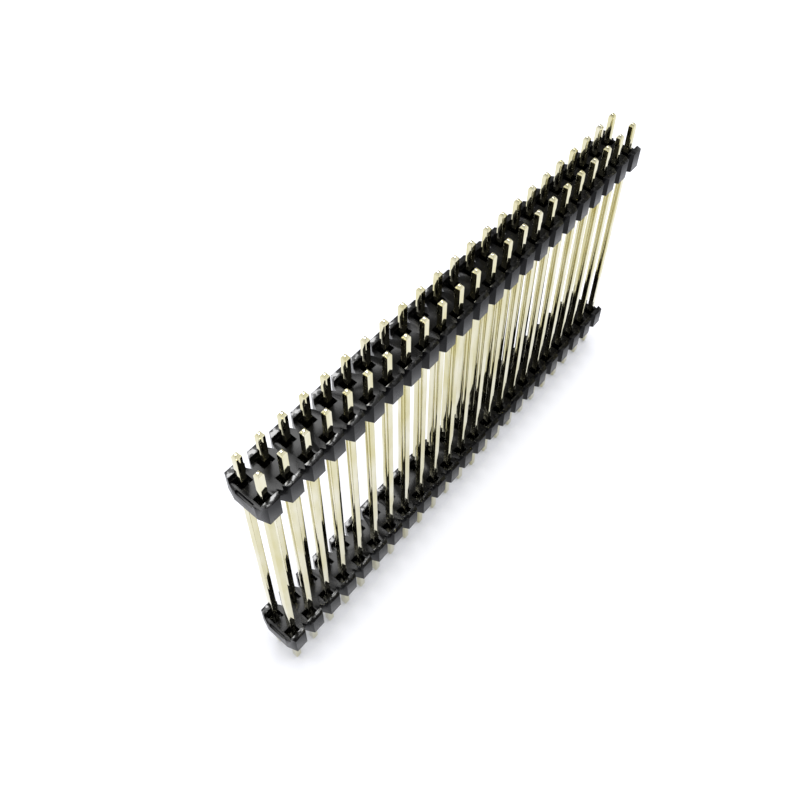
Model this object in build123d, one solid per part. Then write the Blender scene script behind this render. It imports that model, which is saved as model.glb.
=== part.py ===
# Dual-insulator straight pin header: two rows of square posts on a 2.54 mm grid,
# held by a lower and an upper moulded insulator, for stacking one board above another.
import os

from build123d import *

# ---- driving dimensions (mm) ----
pitch = 2.54              # post spacing along the rows and between them
positions = 23            # posts per row
postSize = 0.64           # side of the square post
postTip = 0.35            # height of the taper at each end of a post
postTipFlat = 0.26        # side of the flat left at the very end
tailLength = 4.5          # post below the lower insulator
insulatorHeight = 2.54    # underside to the top of the lugs
deckHeight = 1.8          # underside to the flat deck between the lugs
insulatorGap = 27.7       # underside of the lower insulator to underside of the upper one
stubLength = 3.36         # post above the lugs of the upper insulator
edgeMargin = 1.27         # row of posts to the front or back face
notchHalf = 0.57          # half the mouth of the V notch between neighbouring positions
notchDepth = 1.12         # depth of that notch
endMargin = 1.08          # last post to the end face
endHalf = 1.38            # half the width of the flat end face
lugDepth = 0.61           # thickness of a lug, front to back
wellSize = 1.27           # side of the square well round each post
wellFloor = 0.75          # underside to the floor of a well
stepDepth = 0.4           # how far the broken-off end steps down from the deck
stepWidth = 0.22          # how far that step reaches in from the end face
stepHalf = 1.04           # half its length

# ---- derived sizes ----
rowY = pitch / 2
halfWidth = rowY + edgeMargin
flatHalf = pitch / 2 - notchHalf
endX = (positions - 1) / 2 * pitch + endMargin
lowerZ = tailLength
upperZ = lowerZ + insulatorGap
postTop = upperZ + insulatorHeight + stubLength


def column(i):
    return (i - (positions - 1) / 2) * pitch


# outline of an insulator: a bar with a V between neighbouring positions and tapered ends
def outline():
    front = [(-endX, -endHalf)]
    for i in range(positions):
        x = column(i)
        front += [(x - flatHalf, -halfWidth), (x + flatHalf, -halfWidth)]
        if i < positions - 1:
            front.append((x + pitch / 2, notchDepth - halfWidth))
    front.append((endX, -endHalf))
    return front + [(-x, -y) for x, y in front]


# one moulded insulator with its underside at z = 0: the deck is cut down between the lugs
def insulator():
    bar = extrude(make_face(Polyline(*outline(), close=True)), insulatorHeight)
    lugHeight = insulatorHeight - deckHeight
    channel = Pos(0, 0, deckHeight + lugHeight) * Box(3 * endX, 2 * (halfWidth - lugDepth), 2 * lugHeight)
    cuts = [channel]
    for i in range(positions):
        x = column(i)
        for y in (-rowY, rowY):
            cuts.append(Pos(x, y, wellFloor + insulatorHeight / 2) * Box(wellSize, wellSize, insulatorHeight))
            cuts.append(Pos(x, y, 0) * Box(postSize, postSize, 4 * insulatorHeight))
    for x in (-endX, endX):
        cuts.append(Pos(x, 0, deckHeight) * Box(2 * stepWidth, 2 * stepHalf, 2 * stepDepth))
    return bar - cuts


# one straight post, tapered at both ends, standing on z = 0
def post():
    low = Pos(0, 0, postTip) * Rectangle(postSize, postSize)
    high = Pos(0, 0, postTop - postTip) * Rectangle(postSize, postSize)
    shaft = Pos(0, 0, postTop / 2) * Box(postSize, postSize, postTop - 2 * postTip)
    foot = loft([Rectangle(postTipFlat, postTipFlat), low])
    head = loft([high, Pos(0, 0, postTop) * Rectangle(postTipFlat, postTipFlat)])
    return shaft + foot + head


def save(shape, name):
    solids = shape.solids()
    assert len(solids) == 1 and shape.is_valid, name
    export_step(solids[0], "parts/" + name + ".step")


os.makedirs("parts", exist_ok=True)
save(Pos(0, 0, lowerZ) * insulator(), "lower_insulator")
save(Pos(0, 0, upperZ) * insulator(), "upper_insulator")
for row, y in (("front", -rowY), ("back", rowY)):
    for i in range(positions):
        save(Pos(column(i), y, 0) * post(), f"pin_{row}_{i + 1:02d}")
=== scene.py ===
import math

import bmesh
import bpy
import numpy as np
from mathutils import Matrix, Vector


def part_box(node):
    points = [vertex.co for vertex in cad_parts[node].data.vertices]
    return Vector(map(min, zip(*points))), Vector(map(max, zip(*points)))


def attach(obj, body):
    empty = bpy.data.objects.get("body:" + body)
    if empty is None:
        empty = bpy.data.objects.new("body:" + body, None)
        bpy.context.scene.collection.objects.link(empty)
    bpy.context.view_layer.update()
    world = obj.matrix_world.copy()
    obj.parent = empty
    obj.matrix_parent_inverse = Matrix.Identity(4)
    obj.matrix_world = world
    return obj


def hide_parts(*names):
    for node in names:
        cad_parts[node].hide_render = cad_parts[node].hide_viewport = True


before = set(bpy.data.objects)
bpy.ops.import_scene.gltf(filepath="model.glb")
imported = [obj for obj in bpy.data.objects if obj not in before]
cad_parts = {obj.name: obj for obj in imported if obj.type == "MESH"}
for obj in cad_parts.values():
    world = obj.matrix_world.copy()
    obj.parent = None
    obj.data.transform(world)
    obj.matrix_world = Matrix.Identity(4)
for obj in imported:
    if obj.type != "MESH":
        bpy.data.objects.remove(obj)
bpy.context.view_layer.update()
mm = 0.001
noiseLow, noiseHigh = 0.3, 0.7     # the range that a noise texture really fills
scene = bpy.context.scene
print("frame loaded with", len(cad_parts), "nodes")


# hex sRGB to linear: each channel over 255, then the sRGB curve undone
def linearColour(hexText):
    c = np.array([int(hexText[i:i + 2], 16) for i in (1, 3, 5)]) / 255
    return tuple(np.where(c <= 0.04045, c / 12.92, ((c + 0.055) / 1.055) ** 2.4)) + (1.0,)


# adds one node: attributes by name, inputs by name or number, and links from other sockets
def addNode(tree, kind, attributes=None, **inputs):
    node = tree.nodes.new(kind)
    for key, value in (attributes or {}).items():
        setattr(node, key, value)
    for key, value in inputs.items():
        name = key.replace("_", " ")
        socket = node.inputs[int(name[1:])] if name[1:].isdigit() else node.inputs[name]
        if isinstance(value, bpy.types.NodeSocket):
            tree.links.new(value, socket)
        else:
            socket.default_value = value
    return node


# an empty node material, with its tree
def newMaterial(name):
    material = bpy.data.materials.new(name)
    material.use_nodes = True
    material.node_tree.nodes.clear()
    return material, material.node_tree


# a coordinate in millimetres on the object, stretched by the given factors
def millimetres(tree, stretch=(1, 1, 1)):
    place = addNode(tree, "ShaderNodeTexCoord")
    return addNode(tree, "ShaderNodeMapping", Vector=place.outputs["Object"],
                   Scale=tuple(1000 * s for s in stretch)).outputs["Vector"]


nylon = {
    "colour": "#09090a",       # carbon-black pigment, almost no body colour
    "worn": "#0e0e10",         # slightly greyer where the melt fronts met
    "roughness": 0.26,
    "roughnessSpread": 0.03,   # either side of that, along the flow marks
    "ior": 1.53,
    "specular": 0.14,          # glass filler at the skin dulls the reflection
    "flowSize": 2.2,           # mm, flow marks of the melt
    "grainSize": 0.18,         # mm, spark-erosion grain of the mould, drawn coarse enough to show
    "grainStrength": 0.05,
    "grainHeight": 0.002 * mm,
    "scuffSize": 0.45,         # mm, polished patches on the raised tops
    "scuffEdge": (0.46, 0.54),  # noise values between which a patch begins
    "scuffDepth": 0.03,        # mm below a top that the patches reach
    "scuffRoughness": 0.17,
    "scuffSpecular": 0.6,
}


# moulded nylon: satin black, which gives soft dim reflections, with raised tops rubbed bright in patches.
# A patch is where noise passes a threshold and the height on the object is within scuffDepth of a top
def mouldedNylon(tops):
    material, tree = newMaterial("mouldedNylon")
    place = millimetres(tree)
    flow = addNode(tree, "ShaderNodeTexNoise", Vector=place, Scale=1 / nylon["flowSize"], Detail=2.0)
    grain = addNode(tree, "ShaderNodeTexNoise", Vector=place, Scale=1 / nylon["grainSize"], Detail=1.0)
    patch = addNode(tree, "ShaderNodeTexNoise", Vector=place, Scale=1 / nylon["scuffSize"], Detail=3.0)
    height = addNode(tree, "ShaderNodeSeparateXYZ", Vector=place).outputs["Z"]
    raised = 0.0
    for top in tops:
        level = addNode(tree, "ShaderNodeMath", {"operation": "COMPARE"},
                        i0=height, i1=top / mm, i2=nylon["scuffDepth"])
        raised = addNode(tree, "ShaderNodeMath", {"operation": "ADD"},
                         i0=level.outputs[0], i1=raised).outputs[0]
    patchLow, patchHigh = nylon["scuffEdge"]
    bright = addNode(tree, "ShaderNodeMapRange", Value=patch.outputs["Fac"],
                     From_Min=patchLow, From_Max=patchHigh)
    scuff = addNode(tree, "ShaderNodeMath", {"operation": "MULTIPLY"}, i0=raised,
                    i1=bright.outputs["Result"]).outputs[0]
    colour = addNode(tree, "ShaderNodeMixRGB", Fac=flow.outputs["Fac"],
                     Color1=linearColour(nylon["colour"]), Color2=linearColour(nylon["worn"]))
    satin = addNode(tree, "ShaderNodeMapRange", Value=flow.outputs["Fac"],
                    From_Min=noiseLow, From_Max=noiseHigh,
                    To_Min=nylon["roughness"] - nylon["roughnessSpread"],
                    To_Max=nylon["roughness"] + nylon["roughnessSpread"])
    roughness = addNode(tree, "ShaderNodeMapRange", Value=scuff, To_Min=satin.outputs["Result"],
                        To_Max=nylon["scuffRoughness"])
    specular = addNode(tree, "ShaderNodeMapRange", Value=scuff, To_Min=nylon["specular"],
                       To_Max=nylon["scuffSpecular"])
    bump = addNode(tree, "ShaderNodeBump", Height=grain.outputs["Fac"],
                   Strength=nylon["grainStrength"], Distance=nylon["grainHeight"])
    shader = addNode(tree, "ShaderNodeBsdfPrincipled", Base_Color=colour.outputs["Color"],
                     Roughness=roughness.outputs["Result"], IOR=nylon["ior"],
                     Specular_IOR_Level=specular.outputs["Result"], Normal=bump.outputs["Normal"])
    addNode(tree, "ShaderNodeOutputMaterial", Surface=shader.outputs["BSDF"])
    return material


gold = {
    "colour": "#e0dcc4",       # thin gold over nickel, a pale straw
    "deep": "#cec797",         # where the gold lies thicker
    "roughness": (0.02, 0.06),  # from the smoothest die line to the roughest
    "drawPitch": 0.2,          # mm between die lines along the wire, drawn coarser than the real 0.01
    "drawStretch": 0.012,      # how fast a die line changes along the wire, against across it
    "drawStrength": 0.02,
    "drawHeight": 0.001 * mm,
    "cloudSize": 1.6,          # mm, patches of thicker plating
    "cloudStretch": 0.3,
    "cloudEdge": (0.35, 0.7),  # noise values from the thinnest plating to the thickest
}


# gold flash plating on drawn square wire: a bright pale gold mirror, softened by fine die lines, which are
# noise stretched along the wire
def goldFlashPlating():
    material, tree = newMaterial("goldFlashPlating")
    lines = addNode(tree, "ShaderNodeTexNoise", Vector=millimetres(tree, (1, 1, gold["drawStretch"])),
                    Scale=1 / gold["drawPitch"], Detail=2.0)
    cloud = addNode(tree, "ShaderNodeTexNoise", Vector=millimetres(tree, (1, 1, gold["cloudStretch"])),
                    Scale=1 / gold["cloudSize"], Detail=2.0)
    thin, thick = gold["cloudEdge"]
    tone = addNode(tree, "ShaderNodeMapRange", Value=cloud.outputs["Fac"], From_Min=thin, From_Max=thick)
    colour = addNode(tree, "ShaderNodeMixRGB", Fac=tone.outputs["Result"],
                     Color1=linearColour(gold["colour"]), Color2=linearColour(gold["deep"]))
    smoothest, roughest = gold["roughness"]
    roughness = addNode(tree, "ShaderNodeMapRange", Value=lines.outputs["Fac"],
                        From_Min=noiseLow, From_Max=noiseHigh, To_Min=smoothest, To_Max=roughest)
    bump = addNode(tree, "ShaderNodeBump", Height=lines.outputs["Fac"],
                   Strength=gold["drawStrength"], Distance=gold["drawHeight"])
    shader = addNode(tree, "ShaderNodeBsdfPrincipled", Base_Color=colour.outputs["Color"], Metallic=1.0,
                     Roughness=roughness.outputs["Result"], Normal=bump.outputs["Normal"])
    addNode(tree, "ShaderNodeOutputMaterial", Surface=shader.outputs["BSDF"])
    return material


lugTops = [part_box(node)[1].z for node in ("lower_insulator", "upper_insulator")]
plastic = mouldedNylon(lugTops)
plating = goldFlashPlating()
print("materials made")

insulator = {
    "weld": 0.0005 * mm,       # corners nearer than this are one
    "flatAngle": 0.5,          # degrees under which neighbouring triangles are one flat face
    "edgeAngle": 20,           # degrees over which an edge is rounded
    "edgeRadius": 0.05 * mm,   # moulded edges are never quite sharp
    "edgeSteps": 2,
}


# an insulator: the node's own triangles merged into flat faces, with every edge rounded over
def makeInsulator(node, name):
    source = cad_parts[node].data
    shape = bmesh.new()
    shape.from_mesh(source)
    bmesh.ops.remove_doubles(shape, verts=shape.verts, dist=insulator["weld"])
    bmesh.ops.dissolve_limit(shape, angle_limit=math.radians(insulator["flatAngle"]),
                             verts=shape.verts, edges=shape.edges)
    mesh = bpy.data.meshes.new(name)
    shape.to_mesh(mesh)
    shape.free()
    body = bpy.data.objects.new(name, mesh)
    scene.collection.objects.link(body)
    mesh.materials.append(plastic)
    mesh.shade_smooth()
    edge = body.modifiers.new("roundedEdges", "BEVEL")
    edge.width = insulator["edgeRadius"]
    edge.segments = insulator["edgeSteps"]
    edge.limit_method = "ANGLE"
    edge.angle_limit = math.radians(insulator["edgeAngle"])
    edge.harden_normals = True
    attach(body, "root")
    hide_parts(node)


makeInsulator("lower_insulator", "lowerInsulator")
makeInsulator("upper_insulator", "upperInsulator")
print("insulators made")

pin = {
    "tipHeight": 0.35 * mm,    # taper at each end
    "tipHalf": 0.13 * mm,      # half the flat left at the very end
    "cornerRadius": 0.03 * mm,  # rolled corners of the square wire
    "cornerShare": 0.35,       # the most of the half side that a corner takes
    "cornerSteps": 4,
    "tipEdge": 0.04 * mm,      # how far the taper's edge is rounded over
    "edgeRise": 0.3,           # where on that the middle ring lies, down from the edge
    "edgeDrop": 0.45,          # and how far in, both as shares of it
    "lipRise": 0.02 * mm,      # the small rounding at the very end: its height
    "lipIn": 0.02 * mm,        # what it takes off the flat
    "lipOut": 0.01 * mm,       # and how far past the flat it swells
    "creaseAngle": 40,         # degrees over which an edge looks sharp
}


# section of a pin, from corner angle a: a rounded square of half side h is the centre of each corner
# arc at h - r on both axes plus r times (cos a, sin a), taken round all four corners
def pinSection(half, radius):
    steps = np.linspace(0, np.pi / 2, pin["cornerSteps"] + 1)
    angle = (np.arange(4)[:, None] * np.pi / 2 + steps[None, :]).ravel()
    quarter = np.repeat(np.arange(4) * np.pi / 2 + np.pi / 4, len(steps))
    centre = (half - radius)[:, None] * np.sqrt(2) * np.stack([np.cos(quarter), np.sin(quarter)])[:, None, :]
    arc = radius[:, None] * np.stack([np.cos(angle), np.sin(angle)])[:, None, :]
    return centre + arc


# a pin: that section carried up the z axis, its half side following the taper at both ends
def makePin(node, name):
    low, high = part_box(node)
    half = (high.x - low.x) / 2
    middle = (low + high) / 2
    tip, tipHalf, edge = pin["tipHeight"], pin["tipHalf"], pin["tipEdge"]
    slope = (half - tipHalf) / tip
    climb = np.array([0, pin["lipRise"], tip - edge, tip - edge * pin["edgeRise"], tip + edge])
    widths = np.array([tipHalf - pin["lipIn"], tipHalf + pin["lipOut"], half - slope * edge,
                       half - slope * edge * pin["edgeDrop"], half])
    heights = np.concatenate([low.z + climb, (high.z - climb)[::-1]])
    halves = np.concatenate([widths, widths[::-1]])
    radii = np.minimum(pin["cornerRadius"], halves * pin["cornerShare"])
    x, y = pinSection(halves, radii)
    rings, around = x.shape
    z = np.repeat(heights[:, None], around, 1)
    points = np.stack([x + middle.x, y + middle.y, z], -1).reshape(-1, 3)
    i, j = np.meshgrid(np.arange(rings - 1), np.arange(around), indexing="ij")
    k = (j + 1) % around
    below, above = i * around, (i + 1) * around
    quads = np.stack([below + j, below + k, above + k, above + j], -1).reshape(-1, 4)
    caps = [list(range(around))[::-1], list(range((rings - 1) * around, rings * around))]
    mesh = bpy.data.meshes.new(name)
    mesh.from_pydata(points, [], quads.tolist() + caps)
    mesh.materials.append(plating)
    mesh.shade_smooth()
    mesh.set_sharp_from_angle(angle=math.radians(pin["creaseAngle"]))
    post = bpy.data.objects.new(name, mesh)
    scene.collection.objects.link(post)
    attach(post, "root")
    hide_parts(node)


for node in sorted(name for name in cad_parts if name.startswith("pin_")):
    row, number = node.split("_")[1:]
    makePin(node, row + "Pin" + number)
print("pins made")

studio = {
    "floorSize": 1.6,          # m, side of the pale table
    "floorColour": "#d2d4dd",  # pale grey, which the table's own glow brings up to white
    "floorGlow": 0.62,         # to the camera
    "floorSheen": 0.56,        # the same in reflections
    "paintedShadowReach": 0.005,       # m, how close to the object the glow begins to fail, a painted shadow
    "paintedShadowFade": 2.0,          # power of its fall there, for a tight soft painted shadow
    "worldStrength": 1.0,      # soft light from all round
    "skySheen": 0.42,          # the same overhead in reflections, a darker ceiling above a white horizon
    "skyEdge": (0.3, 0.6),     # how far up, as the height of a direction, it darkens
    "keyPlace": (0.02, 0.12, 0.30),  # m, behind the object and high
    "keyTarget": (0, 0, 0.02),
    "keySize": 0.15,           # m
    "keyPower": 0.95,          # W, a reflection card: it shows in the gloss and lights nothing else
}


# one value for camera rays, one for glossy and transmitted rays and another for the rest
def seenDirectly(tree, otherwise, seen, reflected):
    path = addNode(tree, "ShaderNodeLightPath")
    mirrored = addNode(tree, "ShaderNodeMath", {"operation": "ADD", "use_clamp": True},
                       i0=path.outputs["Is Glossy Ray"], i1=path.outputs["Is Transmission Ray"])
    unseen = addNode(tree, "ShaderNodeMapRange", Value=mirrored.outputs[0],
                     To_Min=otherwise, To_Max=reflected)
    return addNode(tree, "ShaderNodeMapRange", Value=path.outputs["Is Camera Ray"],
                   To_Min=unseen.outputs["Result"], To_Max=seen).outputs["Result"]


# the pale table: a diffuse surface plus a glow that fails near the object, as the share of open sky
# within reach to a power. That fall of the glow is a painted shadow, on top of the diffuse surface's real
# shadow
def makeFloor():
    bpy.ops.mesh.primitive_plane_add(size=studio["floorSize"])
    floor = bpy.context.object
    floor.name = "floor"
    material, tree = newMaterial("paleTable")
    shader = addNode(tree, "ShaderNodeBsdfDiffuse", Color=linearColour(studio["floorColour"]))
    # painted shadow: ambient occlusion darkens the glow around the object, both to the camera and in
    # reflections
    openness = addNode(tree, "ShaderNodeAmbientOcclusion", {"samples": 8}, Distance=studio["paintedShadowReach"])
    near = addNode(tree, "ShaderNodeMath", {"operation": "POWER"},
                   i0=openness.outputs["AO"], i1=studio["paintedShadowFade"])
    seen = seenDirectly(tree, 0.0, studio["floorGlow"], studio["floorSheen"])
    level = addNode(tree, "ShaderNodeMath", {"operation": "MULTIPLY"}, i0=near.outputs[0], i1=seen)
    glow = addNode(tree, "ShaderNodeEmission", Strength=level.outputs[0])
    both = addNode(tree, "ShaderNodeAddShader", i0=shader.outputs["BSDF"], i1=glow.outputs["Emission"])
    addNode(tree, "ShaderNodeOutputMaterial", Surface=both.outputs["Shader"])
    floor.data.materials.append(material)


# the key light: a soft box that faces the object, seen in its gloss only
def makeKey():
    lamp = bpy.data.lights.new("keyLight", "AREA")
    lamp.shape, lamp.size, lamp.energy = "SQUARE", studio["keySize"], studio["keyPower"]
    holder = bpy.data.objects.new("keyLight", lamp)
    scene.collection.objects.link(holder)
    holder.location = studio["keyPlace"]
    aim = Vector(studio["keyTarget"]) - Vector(studio["keyPlace"])
    holder.rotation_euler = aim.to_track_quat("-Z", "Y").to_euler()
    holder.visible_diffuse = False


# the world: plain white to the camera, a soft even light elsewhere, and darker overhead in reflections
def makeWorld():
    world = bpy.data.worlds.new("paleRoom")
    scene.world = world
    world.use_nodes = True
    tree = world.node_tree
    tree.nodes.clear()
    place = addNode(tree, "ShaderNodeTexCoord")
    height = addNode(tree, "ShaderNodeSeparateXYZ", Vector=place.outputs["Generated"]).outputs["Z"]
    horizon, ceiling = studio["skyEdge"]
    sheen = addNode(tree, "ShaderNodeMapRange", Value=height, From_Min=horizon, From_Max=ceiling,
                    To_Min=1.0, To_Max=studio["skySheen"]).outputs["Result"]
    shade = addNode(tree, "ShaderNodeBackground", Color=(1, 1, 1, 1),
                    Strength=seenDirectly(tree, studio["worldStrength"], 1.0, sheen))
    addNode(tree, "ShaderNodeOutputWorld", Surface=shade.outputs["Background"])


makeFloor()
makeWorld()
makeKey()
print("studio made")

view = {
    "place": (-0.04921, -0.03383, 0.10296),
    "elevation": 47.36,        # degrees the camera looks down
    "azimuth": 49.58,          # degrees it is turned from +Y towards +X
    "lens": 42.36,             # mm
    "sensor": 36,              # mm
    "shiftY": -0.175,          # the view is taken from below the lens's axis
    "clip": (0.001, 10),       # m
}


# the camera, placed and turned by the values above
def makeCamera():
    camera = bpy.data.cameras.new("camera")
    camera.lens, camera.sensor_width, camera.shift_y = view["lens"], view["sensor"], view["shiftY"]
    camera.clip_start, camera.clip_end = view["clip"]
    holder = bpy.data.objects.new("camera", camera)
    scene.collection.objects.link(holder)
    holder.location = view["place"]
    holder.rotation_euler = (math.radians(90 - view["elevation"]), 0, -math.radians(view["azimuth"]))
    scene.camera = holder


makeCamera()
scene.view_settings.view_transform = "Standard"
